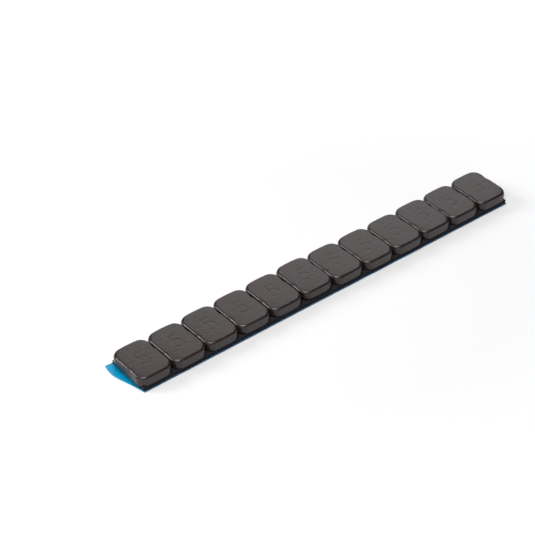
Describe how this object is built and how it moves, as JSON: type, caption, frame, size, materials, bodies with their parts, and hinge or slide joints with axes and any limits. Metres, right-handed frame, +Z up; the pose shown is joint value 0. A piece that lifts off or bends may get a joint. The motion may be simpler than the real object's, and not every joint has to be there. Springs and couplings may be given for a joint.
{
  "type": "wheel balance weight",
  "caption": "Row of small rounded coated steel weights on a foam tape with a peel-off liner, for sticking inside a wheel rim to balance the wheel.",
  "frame": {"origin": "middle of the liner's underside, below the middle of the row of weights", "axes": "+X along the row, away from the pull tab; +Y across the row; +Z up through the weights"},
  "size_m": [0.1522, 0.017, 0.0048],
  "materials": {
    "weight_coating": "satin dark grey coating with a fine orange peel",
    "tape_foam": "matt black closed-cell foam",
    "liner_film": "blue slightly glossy film"
  },
  "bodies": {
    "root": {"weight_01": "weight_coating", "weight_02": "weight_coating", "weight_03": "weight_coating", "weight_04": "weight_coating", "weight_05": "weight_coating", "weight_06": "weight_coating", "weight_07": "weight_coating", "weight_08": "weight_coating", "weight_09": "weight_coating", "weight_10": "weight_coating", "weight_11": "weight_coating", "weight_12": "weight_coating", "foam_tape": "tape_foam", "release_liner": "liner_film"}
  },
  "joints": []
}
